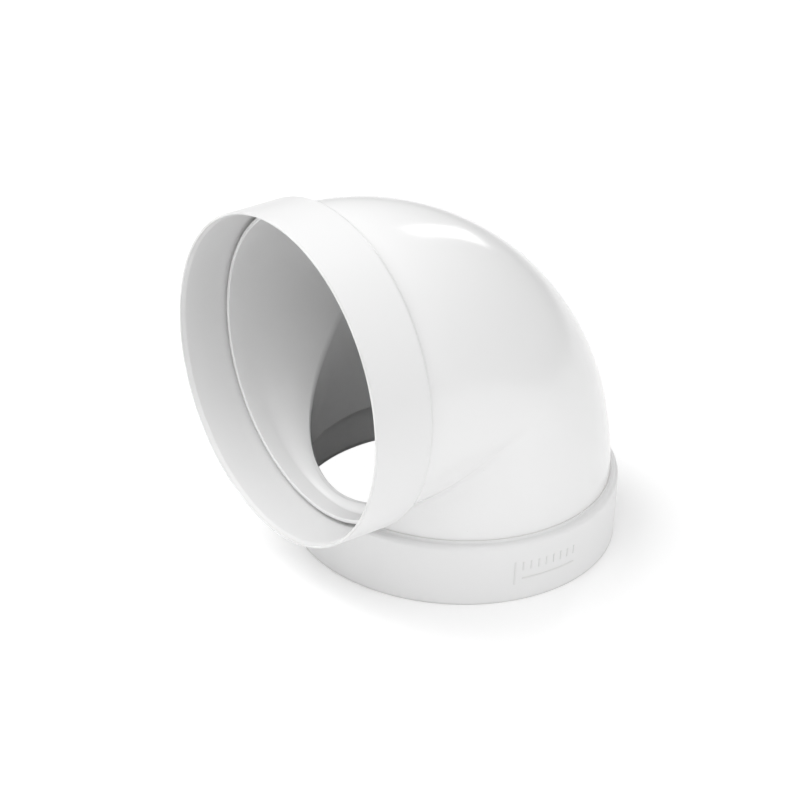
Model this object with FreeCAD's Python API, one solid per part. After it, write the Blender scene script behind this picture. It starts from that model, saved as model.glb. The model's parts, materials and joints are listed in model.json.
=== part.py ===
"""Ninety degree elbow for round duct: a bend with a push-in socket collar cemented on each end.

Millimetres, +Z up. The origin is the centre of the outlet mouth, which faces down. The inlet mouth
faces -Y. The bend is the same on both sides of its mitre, the plane through the two collars' corner.
"""

import FreeCAD
import Part
import math
import os
from FreeCAD import Placement, Rotation, Vector

# Duct that both sockets take, its play in the socket and how far it goes in
DUCT_DIAMETER = 125.0
SOCKET_CLEARANCE = 0.3
INSERTION_DEPTH = 19.5

# Collar: wall, mouth, shoulder at its back, and the cove that meets the bend
COLLAR_WALL = 1.6
LEAD_IN_LENGTH = 2.0
LEAD_IN_RADIAL = 0.6
RIM_ROUNDING = 0.4
SHOULDER_THICKNESS = 2.5
SHOULDER_ROUNDING = 2.0
COVE_RADIUS = 1.0
COVE_LAND = 0.2
GROOVE_TAPER = 0.25
THROAT_GAP = 0.2

# Bend: the lip that stands into each socket, the tapers towards the mitre, and the crease
LIP_STAND = 3.9
LIP_GROOVE = 1.9
LIP_WALL = 1.5
LIP_ROUNDING = 0.4
BEND_TAPER = 0.9
BORE_TAPER = 1.9
THROAT_LAND = 1.6
CREASE_FADE = math.radians(25.0)

# Solvent cement
CEMENT_FILM = 0.2
CEMENT_BEAD = 0.8

# Raised index mark on the outlet collar
MARK_HEIGHT = 0.15
MARK_LINE = 0.6
TICK_LENGTH = 10.0
TICK_FOOT = 7.5
TICK_BEARING = -16.5
BAR_COUNT = 8
BAR_LENGTH = 3.6
BAR_PITCH = 3.4
BAR_FOOT = 13.4
RULE_GAP = 4.0

# Steps of the grid that a bend skin passes through
SKIN_STEP = math.radians(7.5)
FAN_STEPS = 9
MITRE = math.radians(45.0)
SEW_TOLERANCE = 0.0005

bore_radius = DUCT_DIAMETER / 2 + SOCKET_CLEARANCE
collar_radius = bore_radius + COLLAR_WALL
tube_radius = bore_radius - LIP_GROOVE
neck_radius = tube_radius + CEMENT_FILM
groove_floor = INSERTION_DEPTH + LIP_STAND
collar_length = groove_floor + SHOULDER_THICKNESS
neck_top = collar_length + COVE_RADIUS
bend_radius = tube_radius + THROAT_LAND
leg = collar_length + bend_radius
mitre_normal = Vector(0, 1, -1).normalize()
mitre_point = Vector(0, 0, leg)


def to_inlet(shape):
    """Carry an outlet piece, whose mouth faces down, to the inlet, whose mouth faces -Y."""
    half_turn = Placement(Vector(0, 0, 0), Rotation(Vector(0, 0, 1), 180))
    tilt = Placement(Vector(0, -leg, leg), Rotation(Vector(1, 0, 0), -90))
    placed = shape.copy()
    placed.Placement = tilt.multiply(half_turn)
    return placed


def turned(edges):
    """Revolve a closed outline in the XZ half plane about the Z axis."""
    face = Part.Face(Part.Wire(edges))
    return face.revolve(Vector(0, 0, 0), Vector(0, 0, 1), 360)


def line(start, end):
    return Part.LineSegment(Vector(start[0], 0, start[1]), Vector(end[0], 0, end[1])).toShape()


def arc(start, centre, radius, middle_angle, end):
    """An arc from start to end that passes the point at middle_angle about its centre."""
    middle = Vector(centre[0] + radius * math.cos(middle_angle), 0, centre[1] + radius * math.sin(middle_angle))
    return Part.Arc(Vector(start[0], 0, start[1]), middle, Vector(end[0], 0, end[1])).toShape()


def throat_relief():
    """Everything past the mitre, less half of the gap between the two collars."""
    size = 4 * leg
    block = Part.makeBox(size, size, size, Vector(-size / 2, -size / 2, 0))
    block.Placement = Placement(Vector(0, 0, 0), Rotation(Vector(0, 0, 1), -mitre_normal)).multiply(block.Placement)
    block.translate(mitre_point + mitre_normal * (THROAT_GAP / 2))
    return block


def relieved(shape):
    """Trim an outlet piece where it would meet its twin at the throat."""
    return shape.cut(throat_relief())


def collar():
    """Socket collar: lead-in, socket wall, groove behind the lip, shoulder and cove."""
    quarter = math.pi / 4
    mouth_inner = (bore_radius + LEAD_IN_RADIAL, 0)
    mouth_outer = (collar_radius - RIM_ROUNDING, 0)
    side_low = (collar_radius, RIM_ROUNDING)
    side_high = (collar_radius, collar_length - SHOULDER_ROUNDING)
    shoulder_outer = (collar_radius - SHOULDER_ROUNDING, collar_length)
    cove_centre = (neck_radius + COVE_LAND + COVE_RADIUS, neck_top)
    shoulder_inner = (cove_centre[0], collar_length)
    cove_top = (neck_radius + COVE_LAND, neck_top)
    neck_upper = (neck_radius, neck_top)
    neck_lower = (neck_radius, groove_floor)
    groove_corner = (bore_radius - GROOVE_TAPER, groove_floor)
    wall_end = (bore_radius, INSERTION_DEPTH)
    wall_start = (bore_radius, LEAD_IN_LENGTH)
    edges = [
        line(mouth_inner, mouth_outer),
        arc(mouth_outer, (mouth_outer[0], RIM_ROUNDING), RIM_ROUNDING, -quarter, side_low),
        line(side_low, side_high),
        arc(side_high, (shoulder_outer[0], side_high[1]), SHOULDER_ROUNDING, quarter, shoulder_outer),
        line(shoulder_outer, shoulder_inner),
        arc(shoulder_inner, cove_centre, COVE_RADIUS, 5 * quarter, cove_top),
        line(cove_top, neck_upper),
        line(neck_upper, neck_lower),
        line(neck_lower, groove_corner),
        line(groove_corner, wall_end),
        line(wall_end, wall_start),
        line(wall_start, mouth_inner),
    ]
    return relieved(turned(edges))


def cement_ring():
    """The film between a collar's neck and the tube, with its bead in the groove's corner."""
    bead_foot = (tube_radius, groove_floor - CEMENT_BEAD)
    bead_edge = (neck_radius + CEMENT_BEAD, groove_floor)
    return relieved(turned([
        line(bead_foot, bead_edge),
        line(bead_edge, (neck_radius, groove_floor)),
        line((neck_radius, groove_floor), (neck_radius, neck_top)),
        line((neck_radius, neck_top), (tube_radius, neck_top)),
        line((tube_radius, neck_top), bead_foot),
    ]))


def raised_patch(bearing, foot, width, height):
    """A pad MARK_HEIGHT proud of the collar, width mm around it and height mm along it."""
    sweep = math.degrees(width / collar_radius)
    outer = Part.makeCylinder(collar_radius + MARK_HEIGHT, height, Vector(0, 0, foot), Vector(0, 0, 1), sweep)
    core = Part.makeCylinder(collar_radius - COLLAR_WALL / 2, height, Vector(0, 0, foot), Vector(0, 0, 1), 360)
    pad = outer.cut(core)
    pad.rotate(Vector(0, 0, 0), Vector(0, 0, 1), bearing)
    return pad


def index_mark():
    """A tick, a row of plain bars beside it and a thin rule under them."""
    pads = [raised_patch(TICK_BEARING, TICK_FOOT, MARK_LINE, TICK_LENGTH)]
    pitch = math.degrees(BAR_PITCH / collar_radius)
    for index in range(BAR_COUNT):
        pads.append(raised_patch(TICK_BEARING + (index + 1) * pitch, BAR_FOOT, MARK_LINE, BAR_LENGTH))
    rule_width = BAR_PITCH * (BAR_COUNT - 1) + MARK_LINE
    pads.append(raised_patch(TICK_BEARING + pitch, BAR_FOOT - RULE_GAP, rule_width, MARK_LINE))
    return pads


def skin_distance(direction, fan, radius):
    """Distance from a fan section's centre to a skin of the given radius.

    The section lies in a plane through the pivot, turned by fan from the collar's back. On the heel
    side, direction 0, the skin is a torus. On the throat side it is a straight mitred tube.
    """
    centre = 2 * bend_radius / (1 + math.cos(fan))
    offset = centre - bend_radius
    sine = math.sin(direction)
    cosine = math.cos(direction)
    torus = math.sqrt(radius ** 2 - (offset * sine) ** 2) - offset * cosine
    lean = math.cos(fan) ** 2
    behind = centre - bend_radius / math.cos(fan)
    square = sine ** 2 + lean * cosine ** 2
    half_linear = behind * cosine * lean
    constant = lean * behind ** 2 - radius ** 2
    tube = (math.sqrt(half_linear ** 2 - square * constant) - half_linear) / square
    along = (math.pi / 2 + CREASE_FADE - direction) / (2 * CREASE_FADE)
    along = min(max(along, 0.0), 1.0)
    share = along * along * (3 - 2 * along)
    return centre, share * torus + (1 - share) * tube


def skin_point(direction, fan, collar_side_radius, taper):
    """A point of a bend skin, which narrows by taper from the collar to the mitre."""
    ease = (1 - math.cos(math.pi * fan / MITRE)) / 2
    wrapped = math.pi - abs(math.pi - abs(direction))
    centre, distance = skin_distance(wrapped, fan, collar_side_radius - taper * ease)
    reach = centre + distance * math.cos(direction)
    across = distance * math.sin(direction)
    return Vector(across, reach * math.cos(fan) - bend_radius, collar_length + reach * math.sin(fan))


def skin_face(collar_side_radius, taper):
    """One side of a skin from the collar's back to the mitre, heel to throat."""
    spare = 2
    rows = round(math.pi / SKIN_STEP)
    grid = []
    for row in range(-spare, rows + spare + 1):
        grid.append([skin_point(row * SKIN_STEP, MITRE * step / FAN_STEPS, collar_side_radius, taper)
                     for step in range(FAN_STEPS + 1)])
    surface = Part.BSplineSurface()
    surface.interpolate(grid)
    heel = surface.parameter(grid[spare][0])[0]
    throat = surface.parameter(grid[spare + rows][0])[0]
    bounds = surface.bounds()
    return surface.toShape(heel, throat, bounds[2], bounds[3])


def collar_side_edge(face):
    """The edge of a skin face that lies in the plane of the collar's back."""
    return min(face.Edges, key=lambda edge: abs(edge.CenterOfMass.z - collar_length) + edge.BoundBox.ZLength)


def lip():
    """The tube's straight end, from the collar's back down to the rounded lip."""
    inner_radius = tube_radius - LIP_WALL
    rounding_top = INSERTION_DEPTH + LIP_ROUNDING
    outer_centre = (tube_radius - LIP_ROUNDING, rounding_top)
    inner_centre = (inner_radius + LIP_ROUNDING, rounding_top)
    outer_foot = (outer_centre[0], INSERTION_DEPTH)
    inner_foot = (inner_centre[0], INSERTION_DEPTH)
    quarter = math.pi / 4
    return turned([
        line((tube_radius, collar_length), (tube_radius, rounding_top)),
        arc((tube_radius, rounding_top), outer_centre, LIP_ROUNDING, -quarter, outer_foot),
        line(outer_foot, inner_foot),
        arc(inner_foot, inner_centre, LIP_ROUNDING, -3 * quarter, (inner_radius, rounding_top)),
        line((inner_radius, rounding_top), (inner_radius, collar_length)),
        line((inner_radius, collar_length), (tube_radius, collar_length)),
    ])


def bend():
    """The curved tube, with a lip standing into each socket."""
    outer = skin_face(tube_radius, BEND_TAPER)
    inner = skin_face(tube_radius - LIP_WALL, BORE_TAPER)
    end = Part.makeRuledSurface(collar_side_edge(outer), collar_side_edge(inner))
    faces = [outer, inner, end]
    faces += [face.mirror(Vector(0, 0, 0), Vector(1, 0, 0)) for face in faces]
    faces += [face.mirror(mitre_point, mitre_normal) for face in faces]
    shell = Part.makeShell(faces)
    shell.sewShape(SEW_TOLERANCE)
    curved = Part.makeSolid(shell.Shells[0])
    if curved.Volume < 0:
        curved.reverse()
    return curved.fuse([lip(), to_inlet(lip())], SEW_TOLERANCE)


def build():
    pieces = {"outlet_collar": collar(), "outlet_cement_ring": cement_ring()}
    pieces["inlet_collar"] = to_inlet(pieces["outlet_collar"])
    pieces["inlet_cement_ring"] = to_inlet(pieces["outlet_cement_ring"])
    pieces["outlet_collar"] = pieces["outlet_collar"].fuse(index_mark())
    pieces["bend_shell"] = bend()
    os.makedirs("parts", exist_ok=True)
    for name, shape in pieces.items():
        solid = shape.Solids[0]
        solid.exportStep(f"parts/{name}.step")
        print(name, "solids", len(shape.Solids), "valid", solid.isValid(), "volume", round(solid.Volume, 1))


build()
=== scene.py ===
# %% [markdown]
# # A ninety degree elbow for round duct
# The real thing is five pieces of white PVC: a curved tube, a socket collar on each of its ends,
# and the thin ring of cured cement that holds each collar on. This lesson builds all five over
# the imported model, gives them a moulded finish, and lights them softly on a pale floor.
#
# The imported model is loaded first. It is the frame that every piece is built to, so it is
# measured here.

# %% Load the imported part
import json
import math
import bmesh
import bpy
from mathutils import Matrix, Vector

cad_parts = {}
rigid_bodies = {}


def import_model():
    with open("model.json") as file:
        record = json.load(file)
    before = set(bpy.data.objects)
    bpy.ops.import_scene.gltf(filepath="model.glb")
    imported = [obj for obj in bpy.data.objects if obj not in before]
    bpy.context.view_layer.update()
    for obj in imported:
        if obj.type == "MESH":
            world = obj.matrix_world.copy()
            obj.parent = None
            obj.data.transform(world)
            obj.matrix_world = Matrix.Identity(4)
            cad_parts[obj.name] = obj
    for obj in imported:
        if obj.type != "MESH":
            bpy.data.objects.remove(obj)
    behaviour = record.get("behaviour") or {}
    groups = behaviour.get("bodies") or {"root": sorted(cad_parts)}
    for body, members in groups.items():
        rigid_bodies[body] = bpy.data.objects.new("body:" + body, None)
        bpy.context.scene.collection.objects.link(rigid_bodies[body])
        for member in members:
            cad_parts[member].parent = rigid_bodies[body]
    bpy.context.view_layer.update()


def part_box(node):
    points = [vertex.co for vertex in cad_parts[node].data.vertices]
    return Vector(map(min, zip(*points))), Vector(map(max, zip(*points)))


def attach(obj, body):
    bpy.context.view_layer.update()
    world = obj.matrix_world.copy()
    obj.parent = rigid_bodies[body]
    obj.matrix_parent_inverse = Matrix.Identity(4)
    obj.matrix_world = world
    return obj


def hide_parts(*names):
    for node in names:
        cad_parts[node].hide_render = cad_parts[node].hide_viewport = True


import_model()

# %% [markdown]
# ## Sizes
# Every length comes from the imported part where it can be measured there, so that a new piece
# lands exactly where the old one was. What a box can't tell, such as a wall or a rounding, is
# named here. The outlet faces down at the origin and the inlet faces -Y. Everything is made at
# the outlet, and then turned over to the inlet.

# %% Sizes, in metres
MM = 0.001
COLLAR_WALL = 1.6 * MM
LEAD_IN_LENGTH = 2.0 * MM
LEAD_IN_RADIAL = 0.6 * MM
MOUTH_ROUNDING = 0.12 * MM
LEAD_IN_ROUNDING = 0.3 * MM
RIM_ROUNDING = 0.4 * MM
SHOULDER_ROUNDING = 2.0 * MM
COVE_RADIUS = 1.0 * MM
COVE_LAND = 0.2 * MM
GROOVE_TAPER = 0.25 * MM
THROAT_GAP = 0.2 * MM
LIP_WALL = 1.5 * MM
LIP_STAND = 3.9 * MM
LIP_ROUNDING = 0.4 * MM
CEMENT_FILM = 0.2 * MM
CEMENT_BEAD = 0.8 * MM

collar_low, collar_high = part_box("outlet_collar")
bend_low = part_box("bend_shell")[0]
collar_radius = -collar_low.x
bore_radius = collar_radius - COLLAR_WALL
mouth_radius = bore_radius + LEAD_IN_RADIAL
neck_top = collar_high.z
collar_length = neck_top - COVE_RADIUS
tube_radius = -bend_low.x
neck_radius = tube_radius + CEMENT_FILM
lip_foot = bend_low.z
groove_floor = lip_foot + LIP_STAND
leg = -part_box("inlet_collar")[0].y
bend_radius = leg - collar_length
pivot = Vector((0, -bend_radius, collar_length))
mitre_corner = Vector((0, 0, leg))
mitre_normal = Vector((0, 1, -1)).normalized()
print("collar radius and length, mm:", round(collar_radius / MM, 2), round(collar_length / MM, 2))
print("tube radius and leg, mm:", round(tube_radius / MM, 2), round(leg / MM, 2))

# %% [markdown]
# ## A few hand tools
# An operator works on whatever is selected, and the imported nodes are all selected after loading.
# So each helper starts by deselecting everything. Edges are then found by their place, the way a
# person would click on a ring, with a little play. A gap under a hair's width counts as none.

# %% Open a piece and select by place
SIDES = 192
CHORD_PLAY = 0.03 * MM
HEIGHT_PLAY = 0.002 * MM
HAIR = 0.001 * MM


def only(piece):
    """Makes one piece the selected and active object."""
    bpy.ops.object.select_all(action="DESELECT")
    piece.select_set(True)
    bpy.context.view_layer.objects.active = piece


def edit(piece):
    """Opens one piece in edit mode, with nothing in it selected."""
    only(piece)
    bpy.ops.object.mode_set(mode="EDIT")
    bpy.ops.mesh.select_mode(type="EDGE")
    bpy.ops.mesh.select_all(action="DESELECT")


def close():
    """Leaves edit mode."""
    bpy.ops.object.mode_set(mode="OBJECT")


def choose_edges(test):
    """Selects the edges of the open piece whose middle passes a test, and says how many."""
    bpy.ops.mesh.select_all(action="DESELECT")
    mesh = bpy.context.object.data
    shape = bmesh.from_edit_mesh(mesh)
    count = 0
    for edge in shape.edges:
        if test((edge.verts[0].co + edge.verts[1].co) / 2):
            edge.select_set(True)
            count += 1
    bmesh.update_edit_mesh(mesh)
    return count


def ring(radius, height):
    """A test that passes the edges of one ring about the outlet's axis.

    The middle of a chord lies a little inside its circle, so the radius has more play than the
    height.
    """
    def test(place):
        outward = math.hypot(place.x, place.y) - radius
        return abs(outward) < CHORD_PLAY and abs(place.z - height) < HEIGHT_PLAY
    return test


def round_ring(radius, height, amount, steps):
    """Rounds the corner that runs along one ring."""
    count = choose_edges(ring(radius, height))
    bpy.ops.mesh.bevel(offset=amount, segments=steps, affect="EDGES")
    place = f"r {radius / MM:.1f}, z {height / MM:.1f}"
    print(f"rounded {count} edges at {place} by {amount / MM:.2f} mm")


# %% [markdown]
# ## Turning a ring from its outline
# A collar is a solid of revolution. It could be drawn as an outline and spun, or built up as a
# stack of rings. The stack is used here, because the seam then needs no merging: one circle is
# extruded and scaled from corner to corner of the outline, and the last ring is bridged back to
# the first.

# %% Stack rings along an outline


def add_circle(name, radius, height):
    """A circle of edges at its size and place, as an object at the origin."""
    bpy.ops.object.select_all(action="DESELECT")
    bpy.ops.mesh.primitive_circle_add(vertices=SIDES, radius=radius, location=(0, 0, height))
    bpy.ops.object.transform_apply(location=True, rotation=True, scale=True)
    piece = bpy.context.object
    piece.name = name
    piece.data.name = name
    return piece


def follow(outline):
    """Extrudes the selected ring from the first (radius, height) of an outline to the last."""
    for (radius, height), (next_radius, next_height) in zip(outline, outline[1:]):
        step = (0, 0, next_height - height)
        bpy.ops.mesh.extrude_edges_move(TRANSFORM_OT_translate={"value": step})
        ratio = next_radius / radius
        bpy.ops.transform.resize(value=(ratio, ratio, 1), center_override=(0, 0, next_height))


def turn(name, outline):
    """Stacks rings along a closed outline, and bridges the last ring back to the first."""
    piece = add_circle(name, *outline[0])
    edit(piece)
    bpy.ops.mesh.select_all(action="SELECT")
    follow(outline)
    first, last = ring(*outline[0]), ring(*outline[-1])
    choose_edges(lambda place: first(place) or last(place))
    bpy.ops.mesh.bridge_edge_loops()
    face_outward()
    close()
    return piece


def face_outward():
    """Merges any doubled corners of the open piece, and points its faces outward."""
    bpy.ops.mesh.select_all(action="SELECT")
    bpy.ops.mesh.remove_doubles(threshold=HAIR)
    bpy.ops.mesh.normals_make_consistent(inside=False)


def inside_volume(piece):
    """The volume inside a piece, in cubic millimetres. It is negative if its faces face inward."""
    shape = bmesh.new()
    shape.from_mesh(piece.data)
    volume = shape.calc_volume(signed=True)
    shape.free()
    return volume / MM ** 3


# %% [markdown]
# ## The outlet collar
# The collar is a short moulded ring. From its mouth upward it has a lead-in that guides the duct,
# the socket wall, a groove behind the bend's lip, the neck that is cemented to the bend, a cove,
# and a rounded shoulder. The outline below has sharp corners. Those that are round on the real
# piece are rounded afterwards, each with its own radius, as a mould maker would.

# %% Turn the collar and round its corners
cove_wall = neck_radius + COVE_LAND
outlet_collar = turn("outlet_collar_moulding", [
    (mouth_radius, 0),
    (collar_radius, 0),
    (collar_radius, collar_length),
    (cove_wall, collar_length),
    (cove_wall, neck_top),
    (neck_radius, neck_top),
    (neck_radius, groove_floor),
    (bore_radius - GROOVE_TAPER, groove_floor),
    (bore_radius, lip_foot),
    (bore_radius, LEAD_IN_LENGTH),
])
edit(outlet_collar)
round_ring(collar_radius, 0, RIM_ROUNDING, 4)
round_ring(collar_radius, collar_length, SHOULDER_ROUNDING, 8)
round_ring(cove_wall, collar_length, COVE_RADIUS, 6)
round_ring(mouth_radius, 0, MOUTH_ROUNDING, 2)
round_ring(bore_radius, LEAD_IN_LENGTH, LEAD_IN_ROUNDING, 3)
close()

# %% [markdown]
# ### Trimming the collar at the throat
# The two collars would run into each other in the corner of the elbow, so each is cut back at the
# mitre, a little short of it. A boolean would do it, but one cut by a plane is simpler and leaves
# a clean flat, so the bisect operator is used, and its hole is filled. Its threshold is made
# small, because corners nearer the plane than that are taken to lie on it, and here some are
# close.

# %% Cut back at the mitre
CUT_PLAY = 0.0005 * MM


def trim_at_mitre(piece):
    """Removes what would stand past the mitre, less half of the gap between the two collars."""
    edit(piece)
    bpy.ops.mesh.select_all(action="SELECT")
    bpy.ops.mesh.bisect(
        plane_co=mitre_corner + mitre_normal * (THROAT_GAP / 2),
        plane_no=mitre_normal,
        use_fill=True,
        clear_inner=True,
        threshold=CUT_PLAY,
    )
    face_outward()
    close()


trim_at_mitre(outlet_collar)
print("collar volume, mm3:", round(inside_volume(outlet_collar)))

# %% [markdown]
# ## The cement ring
# Solvent cement fills the hairline between the neck and the tube, and a little of it is squeezed
# out into the groove as a bead. A bead is never even, so its sloping face is cut into three
# bands, and the corners of the middle rings are shaken slightly, with a fixed seed, and smoothed
# again.

# %% Turn the cement ring
bead_foot = groove_floor - CEMENT_BEAD
cement = turn("outlet_cement_bead", [
    (tube_radius, bead_foot),
    (neck_radius + CEMENT_BEAD, groove_floor),
    (neck_radius, groove_floor),
    (neck_radius, neck_top),
    (tube_radius, neck_top),
])
trim_at_mitre(cement)

# %% Make the bead uneven
BEAD_UNEVENNESS = 0.12 * MM
BEAD_SEED = 5
SLOPE_PLAY = 0.01 * MM
TUBE_PLAY = 0.05 * MM


def beside_bead(place):
    """A test that passes what lies between the bead's foot and the groove's floor."""
    return bead_foot + SLOPE_PLAY < place.z < groove_floor - SLOPE_PLAY


def on_slope(place):
    """A test that passes only the bead's sloping face, and not the side against the tube."""
    return beside_bead(place) and math.hypot(place.x, place.y) > tube_radius + TUBE_PLAY


edit(cement)
choose_edges(beside_bead)
bpy.ops.mesh.subdivide(number_cuts=2)
choose_edges(on_slope)
bpy.ops.mesh.select_mode(type="VERT")
bpy.ops.mesh.select_less()
bpy.ops.transform.vertex_random(offset=BEAD_UNEVENNESS, uniform=1.0, normal=0.5, seed=BEAD_SEED)
bpy.ops.mesh.vertices_smooth(factor=0.5, repeat=2)
close()
print("cement volume, mm3:", round(inside_volume(cement)))

# %% [markdown]
# ## The curved tube
# Seen from the heel, the tube is a plain quarter of a torus. Seen from the throat, it is two
# straight pipes that meet in a mitre with a crease. One spin makes the torus. The throat half is
# then slid out, corner by corner, to the skin of the straight pipe, and the two shapes are eased
# into each other over the sides, where the crease fades out. Only half of the bend is made, up to
# the mitre.

# %% The rule that slides a corner of the spun skin
BEND_TAPER = 0.9 * MM
BORE_TAPER = 1.9 * MM
MITRE = math.radians(45)
CREASE_FADE = math.radians(25)
FAN_STEPS = 24


def skin_distance(direction, fan, radius):
    """How far the skin is from a section's centre, in a direction from heel, 0, to throat, pi."""
    centre = 2 * bend_radius / (1 + math.cos(fan))
    offset = centre - bend_radius
    sine, cosine = math.sin(direction), math.cos(direction)
    torus = math.sqrt(radius ** 2 - (offset * sine) ** 2) - offset * cosine
    lean = math.cos(fan) ** 2
    behind = centre - bend_radius / math.cos(fan)
    square = sine ** 2 + lean * cosine ** 2
    half_linear = behind * cosine * lean
    root = math.sqrt(half_linear ** 2 - square * (lean * behind ** 2 - radius ** 2))
    pipe = (root - half_linear) / square
    along = min(max((math.pi / 2 + CREASE_FADE - direction) / (2 * CREASE_FADE), 0), 1)
    share = along * along * (3 - 2 * along)
    return centre, share * torus + (1 - share) * pipe


def slide_to_skin(corner, radius, taper):
    """Moves a corner of the spun torus to the real skin, which narrows by taper to the mitre."""
    fan = math.atan2(corner.z - pivot.z, corner.y - pivot.y)
    reach = math.hypot(corner.z - pivot.z, corner.y - pivot.y)
    direction = math.atan2(abs(corner.x), reach - bend_radius)
    ease = (1 - math.cos(math.pi * fan / MITRE)) / 2
    centre, distance = skin_distance(direction, fan, radius - taper * ease)
    reach = centre + distance * math.cos(direction)
    across = math.copysign(distance * math.sin(direction), corner.x)
    return Vector((across, pivot.y + reach * math.cos(fan), pivot.z + reach * math.sin(fan)))


# %% Spin one skin from the collar to the mitre, and slide it


def spin_skin(name, radius, taper):
    """Half of one skin of the bend, open at both ends."""
    piece = add_circle(name, radius, collar_length)
    edit(piece)
    bpy.ops.mesh.select_all(action="SELECT")
    bpy.ops.mesh.spin(steps=FAN_STEPS, angle=-MITRE, center=pivot, axis=(1, 0, 0))
    close()
    for corner in piece.data.vertices:
        corner.co = slide_to_skin(corner.co, radius, taper)
    print(name, "has", len(piece.data.polygons), "faces")
    return piece


lip_bore = tube_radius - LIP_WALL
half_bend = spin_skin("bend_moulding", tube_radius, BEND_TAPER)
half_bore = spin_skin("bore_half", lip_bore, BORE_TAPER)

# %% [markdown]
# ### The lip
# Below the collar's back both skins run straight down, through the neck, and end in a lip that
# stands into the socket. The duct's end stops against it. The outer ring is drawn down, in across
# the wall and up again, until it meets the bore's ring and merges with it. Then the lip's two
# corners are rounded.

# %% Join the skins and draw out the lip
only(half_bend)
half_bore.select_set(True)
bpy.ops.object.join()
edit(half_bend)
choose_edges(ring(tube_radius, collar_length))
follow([
    (tube_radius, collar_length),
    (tube_radius, lip_foot),
    (lip_bore, lip_foot),
    (lip_bore, collar_length),
])
face_outward()
round_ring(tube_radius, lip_foot, LIP_ROUNDING, 4)
round_ring(lip_bore, lip_foot, LIP_ROUNDING, 4)
close()

# %% [markdown]
# ### The other half
# Both halves are the same piece turned over. A half turn about the line that runs through the
# mitre, from throat to heel, carries the outlet's side exactly onto the inlet's. The same helper
# will place the second collar and the second cement ring, each as a copy with a mesh of its own.

# %% Turn a copy over to the inlet


def copy_to_inlet(piece, name):
    """A copy of an outlet piece, given a half turn about the elbow's own axis of symmetry."""
    only(piece)
    bpy.ops.object.duplicate()
    twin = bpy.context.object
    twin.name = name
    twin.data.name = name
    to_corner, from_corner = Matrix.Translation(mitre_corner), Matrix.Translation(-mitre_corner)
    half_turn = Matrix.Rotation(math.pi, 4, Vector((0, 1, 1)))
    twin.matrix_world = to_corner @ half_turn @ from_corner
    bpy.ops.object.transform_apply(location=True, rotation=True, scale=True)
    return twin


other_half = copy_to_inlet(half_bend, "other_half")
only(half_bend)
other_half.select_set(True)
bpy.ops.object.join()
bend = half_bend
edit(bend)
face_outward()
close()
print("bend volume, mm3:", round(inside_volume(bend)))

# %% [markdown]
# ### The crease
# Where the two straight halves meet, a mould leaves a small radius and not a knife edge. The ring
# of edges in the mitre is rounded. Over the heel, where there is no crease, this only adds two
# rings to a surface that is already smooth.

# %% Round the crease
CREASE_ROUNDING = 1.6 * MM
edit(bend)
choose_edges(lambda place: abs((place - mitre_corner).dot(mitre_normal)) < HAIR)
bpy.ops.mesh.bevel(offset=CREASE_ROUNDING, segments=5, affect="EDGES")
close()

# %% [markdown]
# ## The raised index mark
# A tick, a row of plain bars and a thin rule stand a hair proud of the outlet collar. Each is an
# upright strip of the wall spun about the outlet's axis, so that it follows the curve. Each is
# sunk into the wall, so that only its face and its softened edges show.

# %% Raise one pad
MARK_HEIGHT = 0.15 * MM
MARK_SINK = 0.5 * MM
MARK_LINE = 0.6 * MM
MARK_SOFTENING = 0.05 * MM
TICK_LENGTH = 10.0 * MM
TICK_FOOT = 7.5 * MM
TICK_BEARING = math.radians(-16.5)
BAR_COUNT = 8
BAR_LENGTH = 3.6 * MM
BAR_PITCH = 3.4 * MM
BAR_FOOT = 13.4 * MM
RULE_GAP = 4.0 * MM


def raise_pad(bearing, foot, width, height):
    """A pad that stands proud of the collar, width around it and height along it."""
    depth = MARK_HEIGHT + MARK_SINK
    middle = (collar_radius + MARK_HEIGHT - depth / 2, 0, foot + height / 2)
    bpy.ops.object.select_all(action="DESELECT")
    bpy.ops.mesh.primitive_plane_add(size=1, location=middle, rotation=(math.pi / 2, 0, 0))
    bpy.ops.object.transform_apply(location=True, rotation=True, scale=True)
    pad = bpy.context.object
    edit(pad)
    bpy.ops.mesh.select_all(action="SELECT")
    bpy.ops.transform.resize(value=(depth, 1, height), center_override=middle)
    steps = max(1, round(width / MM))
    bpy.ops.mesh.spin(steps=steps, angle=-width / collar_radius, center=(0, 0, 0), axis=(0, 0, 1))
    face_outward()
    close()
    pad.rotation_euler.z = bearing
    bpy.ops.object.transform_apply(location=True, rotation=True, scale=True)
    soften = pad.modifiers.new("soften", "BEVEL")
    soften.width = MARK_SOFTENING
    soften.segments = 2
    soften.limit_method = "ANGLE"
    bpy.ops.object.modifier_apply(modifier=soften.name)
    return pad


# %% Lay out the mark
pitch = BAR_PITCH / collar_radius
pads = [raise_pad(TICK_BEARING, TICK_FOOT, MARK_LINE, TICK_LENGTH)]
for index in range(BAR_COUNT):
    pads.append(raise_pad(TICK_BEARING + (index + 1) * pitch, BAR_FOOT, MARK_LINE, BAR_LENGTH))
rule_width = BAR_PITCH * (BAR_COUNT - 1) + MARK_LINE
pads.append(raise_pad(TICK_BEARING + pitch, BAR_FOOT - RULE_GAP, rule_width, MARK_LINE))
print(len(pads), "pads in the mark")

# %% [markdown]
# ## The second collar, and smooth shading
# The inlet's collar and cement are copies, made before the mark is joined on, because only the
# outlet carries it. Then every piece is shaded smooth up to an angle that keeps its real edges
# crisp, and weighted normals keep the long flat walls flat next to their small roundings.

# %% Copy the collar and the cement, then join the mark
inlet_collar = copy_to_inlet(outlet_collar, "inlet_collar_moulding")
inlet_cement = copy_to_inlet(cement, "inlet_cement_bead")
only(outlet_collar)
for pad in pads:
    pad.select_set(True)
bpy.ops.object.join()

# %% Shade every piece
EDGE_ANGLE = math.radians(32)


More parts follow.
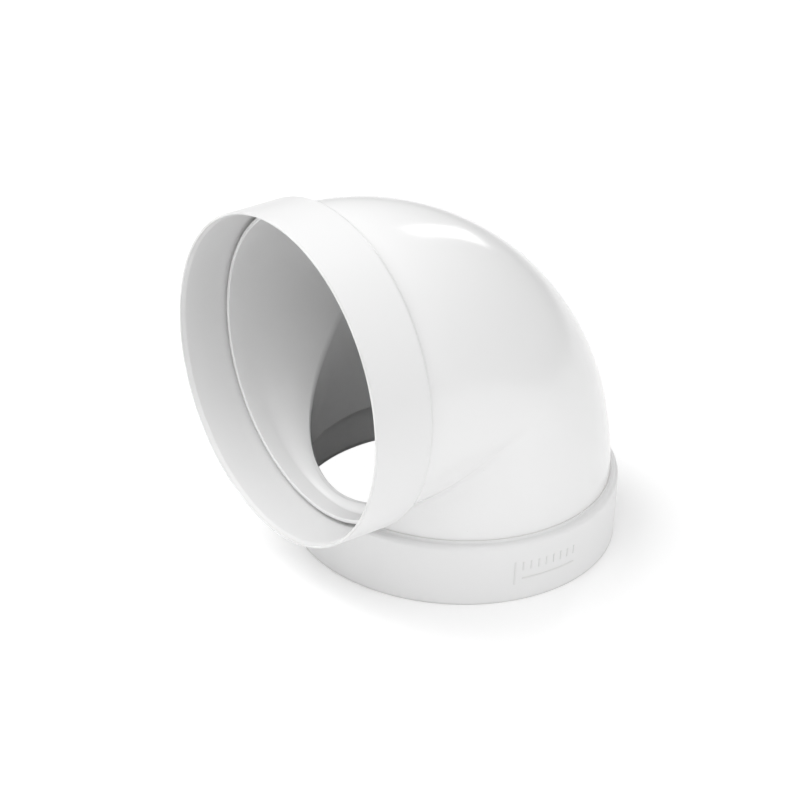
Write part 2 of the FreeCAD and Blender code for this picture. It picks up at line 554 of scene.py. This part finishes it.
def shade(piece):
    """Smooth shading that keeps edges sharper than EDGE_ANGLE, with flat walls kept flat."""
    only(piece)
    bpy.ops.object.shade_smooth_by_angle(angle=EDGE_ANGLE)
    flatten = piece.modifiers.new("flatten", "WEIGHTED_NORMAL")
    flatten.keep_sharp = True
    bpy.ops.object.modifier_apply(modifier=flatten.name)


for piece in (outlet_collar, inlet_collar, cement, inlet_cement, bend):
    shade(piece)
    print(piece.name, len(piece.data.polygons), "faces,", round(inside_volume(piece)), "mm3")

# %% [markdown]
# ## Taking the place of the imported nodes
# Each new piece hides the imported node that it stands for. The part has no joints, so every piece
# rides on the one body, root.

# %% Ride and replace
for piece, node, slot in (
    (outlet_collar, "outlet_collar", "collar"),
    (inlet_collar, "inlet_collar", "collar"),
    (cement, "outlet_cement_ring", "cement"),
    (inlet_cement, "inlet_cement_ring", "cement"),
    (bend, "bend_shell", "bend"),
):
    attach(piece, "root")
    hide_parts(node)

# %% [markdown]
# ## Writing a finish as a formula
# A finish is a network of nodes, and most of them are arithmetic. Wrapping a socket in a small
# class that knows how to add, subtract and multiply lets the shader maths read like a formula.
# Any other node comes from one method, which sets the node's own settings first and its sockets
# after.

# %% The socket wrapper and the finish


class Wire:
    """A socket that carries a number or a colour through a finish."""

    def __init__(self, finish, socket):
        self.finish = finish
        self.socket = socket

    def math(self, operation, first, second):
        """A maths node on two numbers, either of which may be a wire."""
        return self.finish.node("ShaderNodeMath", {"operation": operation}, {0: first, 1: second})

    def __add__(self, other):
        return self.math("ADD", self, other)

    def __radd__(self, other):
        return self.math("ADD", other, self)

    def __sub__(self, other):
        return self.math("SUBTRACT", self, other)

    def __rsub__(self, other):
        return self.math("SUBTRACT", other, self)

    def __mul__(self, other):
        return self.math("MULTIPLY", self, other)

    def __rmul__(self, other):
        return self.math("MULTIPLY", other, self)


class Finish:
    """A material that is being put together."""

    def __init__(self, name):
        self.material = bpy.data.materials.new(name)
        self.material.use_nodes = True
        self.tree = self.material.node_tree
        self.tree.nodes.clear()

    def node(self, kind, settings=None, inputs=None, output=0):
        """Adds a node, gives it its settings, then the values or links of its sockets."""
        made = self.tree.nodes.new(kind)
        for key, value in (settings or {}).items():
            setattr(made, key, value)
        for key, value in (inputs or {}).items():
            if isinstance(value, Wire):
                self.tree.links.new(value.socket, made.inputs[key])
            else:
                made.inputs[key].default_value = value
        return Wire(self, made.outputs[output])

    def noise(self, place, size, detail=2.0):
        """Cloudy noise from 0 to 1, whose blotches are about size metres across."""
        inputs = {"Vector": place, "Scale": 1 / size, "Detail": detail}
        return self.node("ShaderNodeTexNoise", {}, inputs)

    def along(self, place, axis):
        """One of a place's three co-ordinates."""
        return self.node("ShaderNodeSeparateXYZ", {}, {"Vector": place}, axis)

    def distance(self, place):
        """How far a place is from the origin."""
        return self.node("ShaderNodeVectorMath", {"operation": "LENGTH"}, {0: place}, "Value")

    def ramp(self, value, start, end):
        """0 at start and 1 at end, with an even slope between. Either may be the larger."""
        inputs = {"Value": value, "From Min": start, "From Max": end}
        return self.node("ShaderNodeMapRange", {"clamp": True}, inputs)

    def blend(self, mask, colour, other):
        """The first colour where the mask is 0, and the other where it is 1."""
        return self.node("ShaderNodeMix", {"data_type": "RGBA"}, {0: mask, 6: colour, 7: other}, 2)

    def bump(self, height, depth, normal=None):
        """Raises the surface by height times depth metres."""
        inputs = {"Height": height, "Distance": depth, "Strength": 1.0}
        if normal:
            inputs["Normal"] = normal
        return self.node("ShaderNodeBump", {}, inputs)

    def done(self, **inputs):
        """Puts the finish's shader on its output and returns the material."""
        named = {key.replace("_", " ").title(): value for key, value in inputs.items()}
        surface = self.node("ShaderNodeBsdfPrincipled", {}, named, "BSDF")
        output = self.tree.nodes.new("ShaderNodeOutputMaterial")
        self.tree.links.new(surface.socket, output.inputs["Surface"])
        return self.material


def grey(level):
    """An even grey, from black at 0 to white at 1."""
    return (level, level, level, 1)


# %% [markdown]
# ## Moulded PVC
# White PVC comes out of a polished mould clean and glossy, but it is never a perfect mirror. The
# wall shrinks unevenly as it cools, which leaves long shallow waves in the reflections. The skin
# has a fine orange peel, and the white drifts a little in tone where the melt flowed. Handling
# leaves a soft haze and a few specks of dust, and the mouth of each socket is rubbed duller. The
# coves and the grooves behind the lips are darkened as painted shade, and what stands proud, the
# raised mark, is darkened as painted shade too.
# Painting these by hand would tie them to one mesh. Here each is a noise or a measure at its real
# size, in metres, feeding colour, roughness or bump, so the same finish fits any piece. The
# mouths are found by place: one at z 0, one at the end of the leg. The raised mark is what lies
# outside the outlet collar's own radius. The coves are found by ambient occlusion, which asks how
# much of the way out is closed within a short distance.

# %% The sizes, depths and shades of wear, and of painted shade
CLOUD_SIZE = 45 * MM
HAZE_SIZE = 12 * MM
WAVE_SIZE = 24 * MM
PEEL_SIZE = 1.1 * MM
SPECK_SPACING = 11 * MM
SPECK_EDGE, SPECK_CORE = 0.016, 0.009
COVE_REACH = 1.6 * MM
RUBBED_FROM, RUBBED_FULLY = 1.0 * MM, 0.1 * MM
PROUD_FROM, PROUD_FULLY = 0.03 * MM, 0.1 * MM
MARK_LIMIT, MARK_FADE = 23 * MM, 0.5 * MM
FLOW_DRIFT = 0.98
# This grey is rubbed wear at the socket mouths, and painted shade on the raised mark.
WEAR_AND_MARK_SHADE_GREY = (0.69, 0.69, 0.685, 1)
SPECK_GREY = (0.45, 0.44, 0.42, 1)
# This grey is painted shade in the coves and behind the lips.
PAINTED_COVE_SHADE_GREY = (0.40, 0.395, 0.38, 1)
RUBBED_SHADE, MARK_SHADE, SPECK_SHADE, COVE_SHADE = 0.9, 0.65, 0.4, 0.45
CLOUD_DULLING, HAZE_DULLING, RUBBED_DULLING = 0.03, 0.05, 0.14

# %% Find the mouths and the mark by their place


def mouth_mask(finish, place):
    """1 at the very mouth of either socket, and 0 a little way in."""
    above_outlet = finish.along(place, "Z")
    behind_inlet = finish.along(place, "Y") + leg
    nearer = finish.node(
        "ShaderNodeMath", {"operation": "MINIMUM"}, {0: above_outlet, 1: behind_inlet})
    return finish.ramp(nearer, RUBBED_FROM, RUBBED_FULLY)


def mark_mask(finish, place):
    """1 where the wall stands proud of the outlet collar, below its shoulder: there the raised
    mark gets painted shade.
    """
    across = finish.node(
        "ShaderNodeVectorMath", {"operation": "MULTIPLY"}, {0: place, 1: (1, 1, 0)})
    from_axis = finish.distance(across)
    proud = finish.ramp(from_axis, collar_radius + PROUD_FROM, collar_radius + PROUD_FULLY)
    return proud * finish.ramp(finish.along(place, "Z"), MARK_LIMIT + MARK_FADE, MARK_LIMIT)


# %% The moulded finish


def moulded_pvc(name, white, gloss, wave_depth, peel_depth):
    """White PVC from a polished mould. gloss is its roughness where it is clean and unworn."""
    finish = Finish(name)
    place = finish.node("ShaderNodeTexCoord", output="Object")
    cloud = finish.noise(place, CLOUD_SIZE)
    haze = finish.noise(place, HAZE_SIZE, 4.0)
    wave = finish.noise(place, WAVE_SIZE, 1.0)
    peel = finish.noise(place, PEEL_SIZE, 1.0)
    dot = finish.node("ShaderNodeTexVoronoi", {}, {"Vector": place, "Scale": 1 / SPECK_SPACING})
    speck = finish.ramp(dot, SPECK_EDGE, SPECK_CORE)
    rubbed = mouth_mask(finish, place) * finish.ramp(haze, 0.3, 0.6)
    mark = mark_mask(finish, place)
    open_way = finish.node(
        "ShaderNodeAmbientOcclusion", {"samples": 8}, {"Distance": COVE_REACH}, "AO")
    # Rubbed wear at the mouths, plus painted shade on the raised mark.
    wear_and_mark_shade = rubbed * RUBBED_SHADE + mark * MARK_SHADE
    drifting = finish.blend(cloud, grey(white), grey(white * FLOW_DRIFT))
    worn_and_mark_shaded = finish.blend(wear_and_mark_shade, drifting, WEAR_AND_MARK_SHADE_GREY)
    specked = finish.blend(speck * SPECK_SHADE, worn_and_mark_shaded, SPECK_GREY)
    # Painted shade in the coves and behind the lips, where ambient occlusion finds the way out
    # closed in.
    cove_shaded = finish.blend((1 - open_way) * COVE_SHADE, specked, PAINTED_COVE_SHADE_GREY)
    hazy = finish.ramp(haze, 0.45, 0.75)
    roughness = gloss + CLOUD_DULLING * cloud + HAZE_DULLING * hazy + RUBBED_DULLING * rubbed
    skin = finish.bump(peel, peel_depth, finish.bump(wave, wave_depth))
    return finish.done(base_color=cove_shaded, roughness=roughness, normal=skin)


# %% Finish the bend and the collars
bend_finish = moulded_pvc(
    "glossy_pvc", white=0.81, gloss=0.13, wave_depth=0.03 * MM, peel_depth=0.0012 * MM)
collar_finish = moulded_pvc(
    "satin_pvc", white=0.775, gloss=0.30, wave_depth=0.006 * MM, peel_depth=0.0015 * MM)

# %% [markdown]
# ## Cured cement
# Cement dries to a slightly yellower, duller skin with a soft lumpy surface.

# %% The cement finish
LUMP_SIZE, LUMP_DEPTH = 2.5 * MM, 0.15 * MM
BUBBLE_SIZE, BUBBLE_DEPTH = 0.4 * MM, 0.03 * MM
THIN_CEMENT = (0.72, 0.715, 0.69, 1)
THICK_CEMENT = (0.78, 0.775, 0.76, 1)


def cured_cement():
    """Dried solvent cement, a little warmer and duller than the PVC."""
    finish = Finish("cured_cement")
    place = finish.node("ShaderNodeTexCoord", output="Object")
    lump = finish.noise(place, LUMP_SIZE, 3.0)
    bubble = finish.noise(place, BUBBLE_SIZE, 2.0)
    return finish.done(
        base_color=finish.blend(lump, THIN_CEMENT, THICK_CEMENT),
        roughness=0.3 + 0.2 * lump,
        normal=finish.bump(bubble, BUBBLE_DEPTH, finish.bump(lump, LUMP_DEPTH)),
    )


cement_finish = cured_cement()

# %% Put the finishes on
for piece, material in (
    (outlet_collar, collar_finish),
    (inlet_collar, collar_finish),
    (bend, bend_finish),
    (cement, cement_finish),
    (inlet_cement, cement_finish),
):
    piece.data.materials.clear()
    piece.data.materials.append(material)

# %% [markdown]
# ## The floor
# The part stands on pale paper, lit hard enough to be almost pure white, so the part's own greys
# tell its shape. White PVC on white paper would lose its outline, so the paper is painted grey
# further away, out of sight, as painted shade where the studio falls dark, and the bend mirrors
# that grey along its upper edge.

# %% A pale floor
NEAR_FLOOR = 0.58
FAR_FLOOR = 0.8
PAPER_GLOW = 0.07
DISC_SIDES = 96
FLOOR_RADIUS = 6
FLOOR_HEIGHT = -0.02 * MM


def flat_disc(name, radius, height):
    """A filled disc that faces up."""
    middle = (0, 0, height)
    bpy.ops.object.select_all(action="DESELECT")
    bpy.ops.mesh.primitive_circle_add(
        vertices=DISC_SIDES, radius=radius, fill_type="NGON", location=middle)
    bpy.ops.object.transform_apply(location=True, rotation=True, scale=True)
    bpy.context.object.name = name
    return bpy.context.object


def paper():
    """White paper with painted shade: it turns grey between NEAR_FLOOR and FAR_FLOOR from the
    part.
    """
    finish = Finish("pale_paper")
    place = finish.node("ShaderNodeTexCoord", output="Object")
    far = finish.ramp(finish.distance(place), NEAR_FLOOR, FAR_FLOOR)
    return finish.done(
        base_color=finish.blend(far, grey(0.97), grey(0.42)),
        roughness=0.8,
        emission_color=grey(1),
        emission_strength=PAPER_GLOW,
    )


floor = flat_disc("floor", FLOOR_RADIUS, FLOOR_HEIGHT)
floor.data.materials.append(paper())

# %% [markdown]
# ### White through the elbow
# Looking in at the inlet, one sees out at the outlet. The part shades the paper there, so a
# glowing white card lies in the outlet's mouth. It gives the part no light and isn't mirrored in
# it. It only stands for the white paper around the part. Just under it lies a dark card that the
# camera doesn't see. It keeps the paper from lighting the bore, so that the bore darkens
# downward.

# %% Two cards in the outlet
CARD_CLEARANCE = 0.1 * MM
DARK_CARD_HEIGHT = 0.01 * MM
WHITE_CARD_HEIGHT = 0.03 * MM
card_radius = mouth_radius - CARD_CLEARANCE
flag = flat_disc("dark_card", card_radius, DARK_CARD_HEIGHT)
flag.visible_camera = False
flag.data.materials.append(Finish("dark_paper").done(base_color=grey(0.22), roughness=1.0))
card = flat_disc("white_card", card_radius, WHITE_CARD_HEIGHT)
card.visible_diffuse = False
card.visible_glossy = False
card.visible_shadow = False
card.data.materials.append(Finish("glowing_card").done(
    base_color=grey(0), roughness=1.0, emission_color=grey(1), emission_strength=1.0))

# %% [markdown]
# ## Light
# A white studio: an even sky and five soft boxes that stand in a ring round the part, all at one
# distance and turned to its middle. A narrow one behind draws the long highlight on the bend. One
# over the camera models the crease. Two stand high in front, over the inlet and to its left, and
# fill the sockets. A wide one at the right keeps the near side bright. Each box is written as its
# bearing from the front and its height, in degrees, then its width and height in metres and its
# power in watts.

# %% The sky and the soft boxes
SKY = 0.51
BOX_DISTANCE = 1.3
BOX_AIM = Vector((0, -30 * MM, 60 * MM))
world = bpy.data.worlds.new("studio")
bpy.context.scene.world = world
world.use_nodes = True
sky = world.node_tree.nodes["Background"]
sky.inputs["Color"].default_value = grey(1)
sky.inputs["Strength"].default_value = SKY
bpy.context.scene.view_settings.view_transform = "Standard"


def direction(bearing, height):
    """The way to a place seen from the part, from its bearing and height in degrees."""
    bearing, height = math.radians(bearing), math.radians(height)
    return Vector((
        math.sin(bearing) * math.cos(height),
        -math.cos(bearing) * math.cos(height),
        math.sin(height),
    ))


def soft_box(name, bearing, height, width, tall, watts):
    """A rectangular light, BOX_DISTANCE from the part's middle and turned to face it."""
    light = bpy.data.lights.new(name, "AREA")
    light.shape = "RECTANGLE"
    light.size = width
    light.size_y = tall
    light.energy = watts
    lamp = bpy.data.objects.new(name, light)
    bpy.context.scene.collection.objects.link(lamp)
    outward = direction(bearing, height)
    lamp.location = BOX_AIM + outward * BOX_DISTANCE
    lamp.rotation_euler = (-outward).to_track_quat("-Z", "Y").to_euler()
    lamp.visible_camera = False


soft_box("behind", -151.5, 23.3, 0.17, 0.58, 1.15)
soft_box("over_camera", 52, 58, 2.4, 1.2, 6.0)
soft_box("right_front", 95, 25, 1.6, 1.2, 3.2)
soft_box("high_front", 0, 60, 1.0, 1.0, 2.4)
soft_box("high_left", -45, 55, 1.0, 1.0, 9.0)

# %% [markdown]
# ## Camera
# The camera looks down at the part from the front right, a little rolled, through a long lens.
# Its bearing and height are written like those of the lights.

# %% The camera
CAMERA_BEARING = 52.2461
CAMERA_HEIGHT = 30.181
CAMERA_DISTANCE = 1.1268
CAMERA_AIM = Vector((0, -29.15 * MM, 61.98 * MM))
ROLL = math.radians(2.6074)
LENS = 132.08
back = direction(CAMERA_BEARING, CAMERA_HEIGHT)
camera_data = bpy.data.cameras.new("camera")
camera_data.lens = LENS
camera_data.sensor_width = 36
camera_data.clip_start = 0.01
camera = bpy.data.objects.new("camera", camera_data)
bpy.context.scene.collection.objects.link(camera)
camera.location = CAMERA_AIM + back * CAMERA_DISTANCE
level = (-back).to_track_quat("-Z", "Y").to_matrix().to_4x4()
camera.rotation_euler = (level @ Matrix.Rotation(ROLL, 4, "Z")).to_euler()
bpy.context.scene.camera = camera
